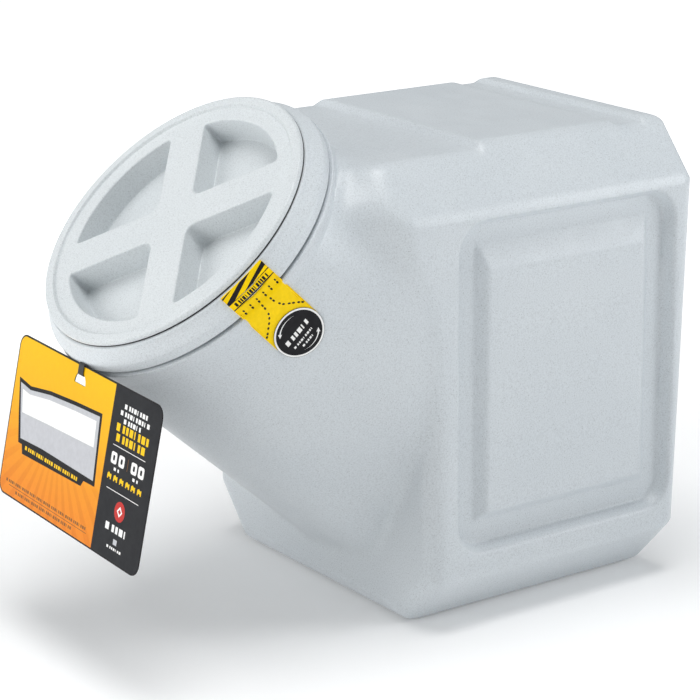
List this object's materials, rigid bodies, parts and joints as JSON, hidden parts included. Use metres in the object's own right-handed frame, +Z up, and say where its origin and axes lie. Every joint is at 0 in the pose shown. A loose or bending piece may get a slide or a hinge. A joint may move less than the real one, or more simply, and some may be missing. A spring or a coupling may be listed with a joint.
{
  "type": "dry food storage bin with screw lid",
  "caption": "Blow-moulded dry food storage bin with a tilted round neck, snap ring, spin-on screw lid with finger pockets, seal tape and hang tag.",
  "frame": {"origin": "centre of the flat base", "axes": "+Z up, -Y towards the neck and lid, X across the bin"},
  "size_m": [0.3466, 0.5941, 0.463],
  "materials": {
    "body_plastic": "granite-speckled, satin",
    "ring_plastic": "granite-speckled, satin",
    "ring_seal_rubber": "matt",
    "lid_seal_rubber": "matt",
    "lid_plastic": "granite-speckled, satin",
    "tape_film": "semi-gloss print",
    "sticker_paper": "semi-gloss print",
    "tag_card": "semi-gloss print",
    "tie_strap": "matt"
  },
  "bodies": {
    "container": {"container_body": "body_plastic", "snap_ring": "ring_plastic", "ring_gasket": "ring_seal_rubber", "seal_tape": "tape_film", "round_sticker": "sticker_paper"},
    "lid_seal": {"lid_gasket": "lid_seal_rubber"},
    "lid": {"spin_lid": "lid_plastic"},
    "tag": {"hang_tag": "tag_card", "tag_tie": "tie_strap"}
  },
  "joints": [
    {"name": "lid_rise", "type": "slide", "parent": "container", "child": "lid_seal", "axis": [0, -0.6794, 0.7337], "range_m": [0, 0.036]},
    {"name": "lid_spin", "type": "hinge", "parent": "lid_seal", "child": "lid", "pos_m": [0, -0.3032, 0.3722], "axis": [0, -0.6794, 0.7337], "range_deg": [0, 1080]},
    {"name": "tag_swing", "type": "hinge", "parent": "container", "child": "tag", "pos_m": [0.0079, -0.38997, 0.25104], "axis": [0.9988, -0.0489, 0], "range_deg": [0, 40]}
  ],
  "couplings": [
    {"joint": "lid_rise", "follows": "lid_spin", "m_per_rad": 0.0019099}
  ]
}
